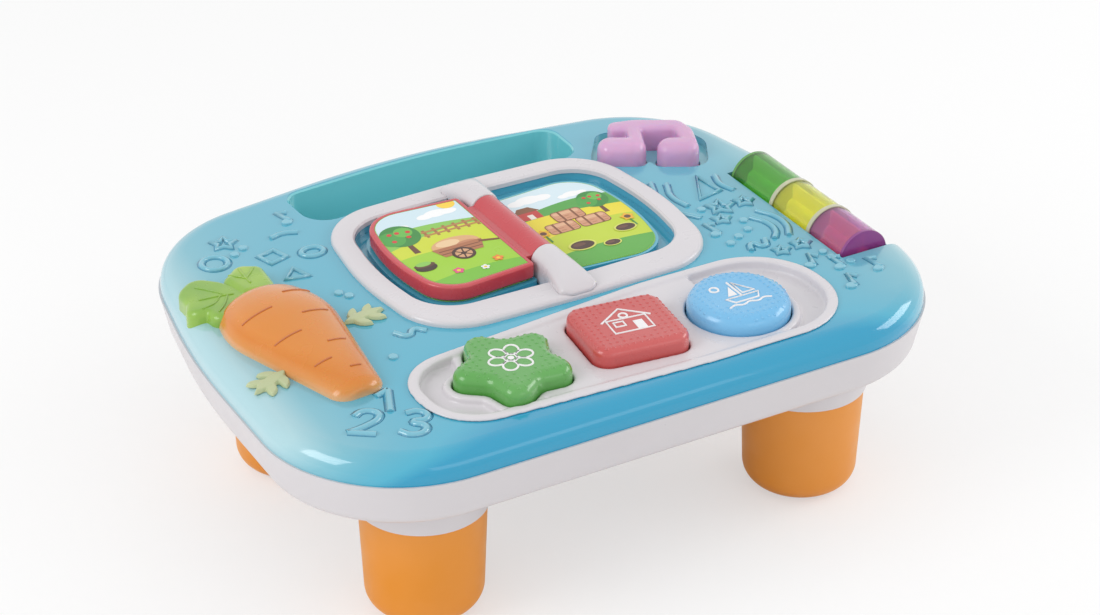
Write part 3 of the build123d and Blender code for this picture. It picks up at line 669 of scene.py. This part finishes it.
def camera():
    data = bpy.data.cameras.new("camera")
    data.sensor_width, data.lens, data.sensor_fit = SENSOR, LENS, "HORIZONTAL"
    data.clip_end = CAMERA_REACH
    view = bpy.data.objects.new("camera", data)
    view.location = CAMERA_PLACE
    view.rotation_euler = Vector(CAMERA_AIM).to_track_quat("-Z", "Y").to_euler()
    bpy.context.scene.collection.objects.link(view)
    bpy.context.scene.camera = view
    bpy.context.scene.view_settings.view_transform = "Standard"


# Things laid on a solid's own surface
def skin(node):
    """A solid's mesh as a tree that points can be dropped on."""
    shell = bmesh.new()
    shell.from_mesh(nodes[node].data)
    shell.transform(nodes[node].matrix_world)
    tree = BVHTree.FromBMesh(shell)
    shell.free()
    return tree


def dropped(tree, x, y):
    """Where a plumb line at (x, y) meets the surface, in metres, and which way it faces there."""
    place, normal, _, _ = tree.ray_cast(Vector((x * MM, y * MM, DROP_FROM)), Vector((0, 0, -1)))
    return place, normal


def add_dot(whole, place, normal):
    """Low dome standing on the surface."""
    radius, height = DOT_R * MM, DOT_RISE * MM
    across = normal.orthogonal().normalized()
    other = normal.cross(across)
    rings = []
    for share, rise in DOT_PROFILE:
        middle, reach, verts = place + normal * (rise * height), radius * share, []
        for i in range(DOT_SIDES):
            angle = 2 * pi * i / DOT_SIDES
            verts.append(whole.verts.new(middle + (across * cos(angle) + other * sin(angle)) * reach))
        rings.append(verts)
    foot, waist = rings
    crest = whole.verts.new(place + normal * height)
    for i in range(DOT_SIDES):
        k = (i + 1) % DOT_SIDES
        whole.faces.new((foot[i], foot[k], waist[k], waist[i]))
        whole.faces.new((waist[i], waist[k], crest))


def dotted(body):
    """Rows of small raised dots over a button, left out under its icon."""
    slot, centre, turn, pitch = BUTTONS[body]
    node, whole = body + "_button", bmesh.new()
    tree = skin(node)
    steps = [(i + 0.5) * pitch for i in range(-DOT_ROWS, DOT_ROWS + 1)]
    for x, y in turned([(across, along) for across in steps for along in steps], turn, centre):
        place, normal = dropped(tree, x, y)
        near_icon = (x - centre[0]) ** 2 + (y - centre[1]) ** 2 < ICON_R ** 2
        if place is None or near_icon:
            continue
        if normal.z >= FACING_UP and place.z >= (BUTTON_TOP - DOTTED_DEPTH) * MM:
            add_dot(whole, place, normal)
    new_object(node + "_dots", smooth(finished(whole, node + "_dots")), FINISH[slot], body)


def laid(tree, points, lift):
    """A smooth line through plan points, dropped on the surface and raised a little."""
    return bend([(x, y, dropped(tree, x, y)[0].z / MM + lift) for x, y in points])


def carrot_creases():
    """Short creases across the root, modelled as thin low ridges in a darker orange that paints the
    shade of a groove.
    """
    tree, lines = skin("carrot_body"), []
    way = (CARROT_TIP - CARROT_CROWN).normalized()
    side = Vector((-way.y, way.x))
    # Distance from the crown, and where the crease starts and ends across the root
    for along, start, end in ((22, 6, 25), (34, -27, -8), (48, 4, 22), (62, -22, -5), (78, 3, 15),
                              (92, -14, -3), (104, 2, 9)):
        points = []
        for i in range(CREASE_STEPS + 1):
            across = start + (end - start) * i / CREASE_STEPS
            bow = CREASE_BOW * (1 - (across / CARROT_HALF) ** 2)
            points.append(tuple(CARROT_CROWN + way * (along + bow) + side * across))
        lines.append(laid(tree, points, CREASE_LIFT))
    ridges = curve_mesh(lines, bevel=CREASE_R, fill=False)
    new_object("carrot_creases", ridges, crease_shade_orange, "table")


def leaf_veins():
    """Raised veins: a middle one and its branches on each leaf."""
    tree = skin("carrot_leaves")
    veins = (((-176, 40), (-186, 42), (-197, 43)),
             ((-184, 41.5), (-191, 35), (-199, 33)),
             ((-180, 41), (-187, 51), (-193, 58)),
             ((-180, 40), (-186, 31), (-192, 25)),
             ((-163, 44), (-163, 54), (-162, 63)),
             ((-163, 50), (-168, 56), (-170, 60)),
             ((-163, 50), (-157, 56), (-154, 60)))
    ridges = curve_mesh([laid(tree, points, VEIN_LIFT) for points in veins], bevel=VEIN_R, fill=False)
    new_object("leaf_veins", ridges, FINISH["leaf_green"], "table")


# Raised decoration on the top
NOTE_SIGNS = ((116, -25, 0.2), (146, -86, -0.3), (159, -97, 0.1), (153, -119, -0.2), (178, -110, 0.2),
              (-107, 121, 0.3))


def relief_lines():
    """Splines of the arcs, waves, plain figures, stars and the stems of the small note signs."""
    star_valley, star_turn = 0.45, 1.2
    splines = [
        bend([(119, 49), (112, 27), (113, 9), (122, -6)]),
        bend([(127, 43), (121, 26), (123, 11)]),
        bend([(160, 38), (157, 26), (160, 15)]),
        polygon([(135, 15), (149, 42), (152, 19)]),
        bend([(157, -15), (163, -27), (163, -40), (157, -52)]),
        bend([(149, -21), (154, -32), (153, -43), (147, -51)]),
        bend([(126, -57), (131, -50), (136, -56), (141, -49)]),
        bend([(-122, 104), (-113, 106), (-104, 103)]),
        bend([(-109, -36), (-103, -43), (-97, -38), (-91, -43)]),
        loop(circle(-165, 92, 8, 16)),
        loop(oval(-107, 76, 7, 5.6, 16)),
        polygon(turned([(-6, -6), (6, -6), (6, 6), (-6, 6)], 0.3, (-131, 82))),
        polygon(turned([(-7, -5), (7, -5), (0, 7)], -0.2, (-128, 56))),
    ]
    for x, y, size in ((140, 0, 9), (157, -1, 6), (132, -14, 5.5), (-150, 112, 8), (157, -65, 6),
                       (142, -66, 5)):
        splines.append(polygon(star(size, size * star_valley, (x, y), star_turn)))
    for x, y, lean in NOTE_SIGNS:
        splines.append(line(turned([(4.5, -4), (4.5, 9), (10, 6)], lean, (x, y))))
    return splines


def relief_spots():
    """Splines of the note signs' heads and of the single round spots."""
    splines = [loop(turned(oval(1.8, -4, 3.2, 2.4, 14), lean, (x, y))) for x, y, lean in NOTE_SIGNS]
    for x, y in ((-142, 101), (-150, 96), (120, -43), (129, -38), (139, -33), (163, -80), (164, -88),
                 (-122, -60), (-116, 22), (-112, 16), (143, -22), (128, 3), (171, -98)):
        splines.append(loop(circle(x, y, 2.2, 12)))
    return splines


def relief_digits():
    """Splines of the digits 1, 2 and 3, whose strokes are drawn about a middle point."""
    two = [bend([(-7, 6), (-4, 11), (1, 12.5), (6, 10), (6.5, 5), (2, -2), (-4, -8), (-8, -11)]),
           line([(-8, -11), (8, -11)])]
    one = [line([(-6, 6), (1, 12)]), line([(1, 12), (1, -11)])]
    three = [bend([(-7, 9.5), (-1, 12.5), (5, 10), (5, 4.5), (-1, 1), (6, -2), (6.5, -8), (0, -12),
                   (-7, -9.5)])]
    splines = []
    for strokes, place, lean in ((two, (-168, -115), -0.10), (one, (-147, -101), 0.12),
                                 (three, (-144, -129), -0.12)):
        for points, closed, curved in strokes:
            splines.append((turned(points, DIGIT_TURN + lean, place), closed, curved))
    return splines


def relief():
    """Raised lines, spots and digits, and a darker flat band along the foot of the lines as painted
    shade.
    """
    lines, digits = relief_lines(), relief_digits()
    ridges = curve_mesh(lines, bevel=RELIEF_R, z=TOP, fill=False)
    spots = curve_mesh(relief_spots(), extrude=SPOT_HALF, bevel=SPOT_EDGE, z=TOP + SPOT_LIFT)
    numbers = curve_mesh(digits, bevel=DIGIT_R, z=TOP - DIGIT_SINK, fill=False, depth=3)
    bands = [flattened(curve_mesh(lines, bevel=RELIEF_SHADE_R, z=TOP, fill=False, depth=1)),
             flattened(curve_mesh(digits, bevel=DIGIT_SHADE_R, z=TOP, fill=False, depth=1))]
    new_object("relief_painted_shade", joined(bands), painted_shade_blue, "table")
    new_object("relief_shapes", joined([ridges, spots]), relief_highlight_blue, "table")
    new_object("relief_digits", numbers, relief_highlight_blue, "table")


# Copies that stand for solids
def copied(node):
    """A solid's mesh, in place."""
    mesh = nodes[node].data.copy()
    mesh.transform(nodes[node].matrix_world)
    return mesh


def softened(node, body, voxel, rounds, keep=1.0):
    """A remeshed and smoothed copy with rounder edges than the solid, thinned to a share kept."""
    piece = bpy.data.objects.new(node + "_soft", copied(node))
    bpy.context.scene.collection.objects.link(piece)
    remesh = piece.modifiers.new("remesh", "REMESH")
    remesh.mode, remesh.voxel_size = "VOXEL", voxel * MM
    relax = piece.modifiers.new("relax", "SMOOTH")
    relax.factor, relax.iterations = 0.5, rounds
    if keep < 1:
        piece.modifiers.new("thin", "DECIMATE").ratio = keep
    final = evaluated(piece)
    piece.modifiers.clear()
    piece.data = smooth(final)
    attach(piece, body)
    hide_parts(node)


def rubber_dome(button):
    """Copy of a rubber dome with a mesh of its own; the solid is hidden."""
    node = button + "_dome"
    piece = new_object(node + "_rubber", copied(node), None, "table")
    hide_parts(node)
    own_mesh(piece)


# Icons on the buttons: thin white raised lines and small filled patches
def icon(body, strokes, patches):
    slot, centre, turn, _ = BUTTONS[body]

    def placed(splines):
        return [(turned(points, turn, centre, ICON_SCALE), *kind) for points, *kind in splines]

    height = BUTTON_TOP + ICON_LIFT
    lines = curve_mesh(placed(strokes), bevel=ICON_LINE_R, z=height, fill=False, depth=1)
    plates = curve_mesh(placed(patches), extrude=PATCH_HALF, bevel=PATCH_EDGE, z=height)
    new_object("icon_" + body, joined([lines, plates]), icon_white, body)


def flower_icon():
    petal = [(3.6, -1.4), (8.5, -3.8), (12.5, 0), (8.5, 3.8), (3.6, 1.4)]
    petals = [loop(turned(petal, 2 * pi * i / 6)) for i in range(6)]
    icon("star", petals + [loop(circle(0, 0, 3.4, 14))], [loop(circle(0, 0, 1.6, 10))])


def house_icon():
    walls = polygon([(-11, -10), (11, -10), (11, 3), (-11, 3)])
    roof = line([(-14, 2), (0, 13), (14, 2)])
    window = polygon([(-8, -4), (-2.5, -4), (-2.5, 0.5), (-8, 0.5)])
    door = polygon([(2.5, -9.6), (7.5, -9.6), (7.5, -1), (2.5, -1)])
    icon("square", [walls, roof, window, loop(circle(0, 6, 2.2, 12))], [door])


def boat_icon():
    hull = polygon([(-10, -3), (10, -3), (7, -8), (-7, -8)])
    mast = line([(0, -3), (0, 12.5)])
    mainsail = polygon([(1.8, -0.6), (1.8, 11), (9, -0.6)])
    jib = polygon([(-1.8, -0.6), (-7, -0.6), (-1.8, 8)])
    sun = loop(circle(-10, 9, 2.4, 14))
    waves = bend([(-13, -11.5), (-9, -10), (-4.5, -11.5), (0, -10), (4.5, -11.5), (9, -10), (13, -11.5)])
    icon("round", [hull, mast, mainsail, sun, waves], [jib])


# Pictures: flat printed shapes laid on each card. A layer is a colour and an outline
def picture(name, body, card, z, up, layers):
    """Layers clipped to the card and stacked a hair apart, facing up or down."""
    window = counter_clockwise(rounded(card))
    level, whole, colours = PRINT_LIFT, bmesh.new(), []
    for colour, shape in layers:
        kept = clip(counter_clockwise(shape), window)
        if len(kept) < 3:
            continue
        if colour not in colours:
            colours.append(colour)
        height = (z + up * level) * MM
        points = kept if up > 0 else kept[::-1]
        face = whole.faces.new([whole.verts.new((x * MM, y * MM, height)) for x, y in points])
        face.material_index = colours.index(colour)
        level += PRINT_STEP
    bmesh.ops.triangulate(whole, faces=whole.faces[:])
    mesh = finished(whole, name)
    for colour in colours:
        mesh.materials.append(ink(colour))
    new_object(name, mesh, None, body)


def sky(mid, colour, top):
    return [(colour, bar(mid - SKY_HALF, -SKY_HALF, mid + SKY_HALF, top))]


def hill(mid, base, rise, crest):
    """A swell across the whole picture. A crest above 1 moves its top to the right."""
    left, right = mid - SKY_HALF, mid + SKY_HALF
    points = [(left, base - HILL_DEPTH)]
    for i in range(HILL_STEPS + 1):
        share = i / HILL_STEPS
        points.append((left + (right - left) * share, base + rise * sin(pi * share ** crest)))
    return points + [(right, base - HILL_DEPTH)]


def cloud(x, y, size):
    """Three flat puffs side by side."""
    return [(CLOUD_WHITE, oval(x, y, size, size * 0.55)),
            (CLOUD_WHITE, oval(x - size, y - size * 0.15, size * 0.7, size * 0.4)),
            (CLOUD_WHITE, oval(x + size, y - size * 0.1, size * 0.75, size * 0.42))]


def fruit_tree(x, y, size):
    """Trunk, a crown in three greens and five fruits."""
    foot, neck = size * 0.14, size * 0.1
    layers = [(BARK, [(x - foot, y), (x + foot, y), (x + neck, y + size), (x - neck, y + size)]),
              (STEM_GREEN, oval(x, y + size * 1.6, size * 0.85, size * 0.9)),
              ("4FA64A", oval(x - size * 0.4, y + size * 1.5, size * 0.55, size * 0.6)),
              ("6FBE52", circle(x + size * 0.25, y + size * 1.85, size * 0.4))]
    for dx, dy in ((-0.4, 1.3), (0.3, 1.4), (0.0, 1.9), (-0.35, 1.9), (0.45, 1.8)):
        layers.append(("D8403A", circle(x + dx * size, y + dy * size, size * 0.11, 12)))
    return layers


def flower(x, y, size, colour):
    """Five round petals and a yellow middle."""
    angles = (2 * pi * i / 5 for i in range(5))
    petals = [(colour, circle(x + size * cos(a), y + size * sin(a), size * 0.62, 12)) for a in angles]
    return petals + [("F6D13A", circle(x, y, size * 0.6, 12))]


def sunflower(x, y):
    """Stem, a five-pointed head and a dark middle."""
    return [(STEM_GREEN, bar(x - 0.6, y - 12, x + 0.6, y)),
            ("F2B92E", star(5.0, 3.4, (x, y), 0.3)),
            (BARK, circle(x, y, 2.2, 14))]


def fence(x, y, count):
    """Posts and two rails."""
    gap, half_post, height, overhang, rail = 7, 1, 10, 2, 1.8
    posts = [x + gap * i for i in range(count)]
    layers = [("A9713F", bar(post - half_post, y, post + half_post, y + height)) for post in posts]
    return layers + [("BC834C", bar(x - overhang, y + rise, posts[-1] + overhang, y + rise + rail))
                     for rise in (2, 6.4)]


def cart(x, y):
    """Wooden hand cart heaped with hay."""
    hub = (x - 1, y + 2.5)
    layers = [("E2B07E", oval(x, y + 15, 16, 9)),
              ("F1CFA2", oval(x - 4, y + 18, 8, 4)),
              ("C98A66", oval(x + 7, y + 13, 7, 3.5)),
              ("B57550", [(x - 17, y + 14), (x - 13, y + 3), (x + 13, y + 3), (x + 17, y + 14)])]
    layers += [(WOOD, bar(x - 14, y + rise, x + 14, y + rise + 0.9)) for rise in (6, 9.6)]
    layers.append((WOOD, [(x + 14, y + 10.4), (x + 28, y + 6.6), (x + 28, y + 8.4), (x + 14, y + 13)]))
    for colour, radius in ((DARK_WOOD, 7.4), ("D8A57C", 5.4), (DARK_WOOD, 1.8)):
        layers.append((colour, circle(*hub, radius)))
    spoke = [(-5.6, -0.5), (5.6, -0.5), (5.6, 0.5), (-5.6, 0.5)]
    return layers + [(DARK_WOOD, turned(spoke, 0.3 + pi * i / 3, hub)) for i in range(3)]


def bale(x, y):
    """Bound block of hay with two strings and loose straws."""
    layers = [(WOOD, bar(x - 10.6, y - 0.6, x + 10.6, y + 12.6, 3)),
              ("D69C7A", bar(x - 10, y, x + 10, y + 12, 2.6)),
              ("E6B690", bar(x - 9, y + 7.6, x + 9, y + 11, 1.5))]
    layers += [("8A5638", bar(x + dx - 0.8, y, x + dx + 0.8, y + 12)) for dx in (-4.5, 4.5)]
    straws = ((-9, 3), (-3, 5), (-2.6, 2), (6, 4.4), (5.8, 1.6))
    return layers + [("C08460", bar(x + dx, y + dy, x + dx + 3.4, y + dy + 0.8)) for dx, dy in straws]


def barn(at, y):
    """Small red barn with a roof and a door."""
    return [("C9433C", bar(at(-30), y, at(-16), y + 10)),
            ("8A5A3B", [(at(-32), y + 9.5), (at(-14), y + 9.5), (at(-19), y + 16), (at(-27), y + 16)]),
            ("F4EDE2", bar(at(-25), y, at(-21), y + 6))]


def burrow(x, y):
    """Dark hole in the ground, its far edge brown and then green."""
    return [("3B2A1E", oval(x, y, 7, 5)),
            ("5E3D28", oval(x, y + 2.5, 7, 2.8)),
            (PALE_GREEN, oval(x, y + 4, 5, 2.6))]


def stone(x, y, size):
    """Dark flat stone on a patch of light grass."""
    return [("DCE06A", oval(x, y, size * 1.18, size * 0.78)),
            (DARK_WOOD, oval(x, y, size, size * 0.62)),
            ("6B4534", oval(x - size * 0.2, y + size * 0.15, size * 0.55, size * 0.25))]


def meadow(mid):
    """Sky, hills, a fruit tree, a fence, a hay cart, a burrow and flowers."""
    layers = sky(mid, "D7EDF6", 110) + cloud(mid + 14, 66, 8) + cloud(mid - 18, 60, 5.5)
    layers.append(("FFD94A", circle(mid + 25, 74, 6)))
    layers += [(PALE_GREEN, hill(mid, 42, 14, 0.8)), ("D3DE3C", hill(mid, 30, 16, 1.5)),
               ("A4D43A", hill(mid, 12, 12, 0.7)), ("7DC23C", hill(mid, -16, 10, 1.2))]
    layers += fence(mid - 4, 40, 6) + fruit_tree(mid - 19, 26, 15)
    layers += cart(mid + 6, 10) + burrow(mid - 23, 8)
    for dx, y, size, colour in ((-8, -5, 2.2, "E8558B"), (8, -9, 1.8, "F2F2F2"),
                                (20, -3, 2.2, "F08A3C")):
        layers += flower(mid + dx, y, size, colour)
    return layers


def harvest(mid, side):
    """Sky, hills, a barn, a tree, bales, stones and sunflowers. A side of -1 swaps left and right."""

    def at(dx):
        return mid + side * dx

    layers = sky(mid, "DDF0F8", 120) + cloud(at(-14), 70, 9) + cloud(at(14), 64, 6)
    layers += [("57A84A", hill(mid, 46, 12, 1.3)), ("F0E03C", hill(mid, 34, 12, 0.7)),
               ("C6DA3A", hill(mid, 14, 13, 1.5)), ("5FAF45", hill(mid, -10, 9, 0.9))]
    layers += barn(at, 46) + fruit_tree(at(22), 32, 12)
    for dx, y in ((-13, 22), (9, 22), (-2, 34.5)):
        layers += bale(at(dx), y)
    for dx, y, size in ((-14, 2, 8), (4, -4, 5.2), (21, 9, 6.6)):
        layers += stone(at(dx), y, size)
    return layers + sunflower(at(-28), 26) + sunflower(at(29), 20)


def pictures():
    """A picture on each face of the page and on each half of the book's floor."""
    card = shrunk(PAGE, PAGE_MARGIN)
    left = [(min(x, HINGE_X - SPINE_HALF), y, radius) for x, y, radius in shrunk(PAGE, LEFT_MARGIN)]
    right = [(max(x, HINGE_X + SPINE_HALF), y, radius)
             for x, y, radius in shrunk(mirrored(PAGE), RIGHT_MARGIN)]
    picture("picture_page_top", "page", card, PAGE_TOP, 1, meadow(LEFT_PICTURE))
    picture("picture_page_under", "page", card, PAGE_UNDERSIDE, -1, harvest(LEFT_PICTURE, -1))
    picture("picture_floor_right", "table", right, BOOK_FLOOR, 1, harvest(RIGHT_PICTURE, 1))
    picture("picture_floor_left", "table", left, BOOK_FLOOR, 1, meadow(LEFT_PICTURE))


floor()
surroundings()
lamp("key", (-1.6, -0.05, 1.1), width=0.9, height=0.9, power=10)
lamp("side", (1.7, -0.5, 0.9), width=1.2, height=0.6, power=8)
lamp("front", (0.3, -1.8, 0.9), width=1.4, height=0.5, power=2)
camera()
relief()
for body in BUTTONS:
    dotted(body)
carrot_creases()
leaf_veins()
flower_icon()
house_icon()
boat_icon()
softened("spine_cap_front", "table", voxel=0.5, rounds=60)
softened("spine_cap_back", "table", voxel=0.5, rounds=60)
softened("sprigs", "table", voxel=0.4, rounds=12)
softened("button_tray", "table", voxel=0.7, rounds=20, keep=0.6)
softened("note_button", "note", voxel=0.5, rounds=40)
for button in ("star", "square", "round", "note"):
    rubber_dome(button)
pictures()
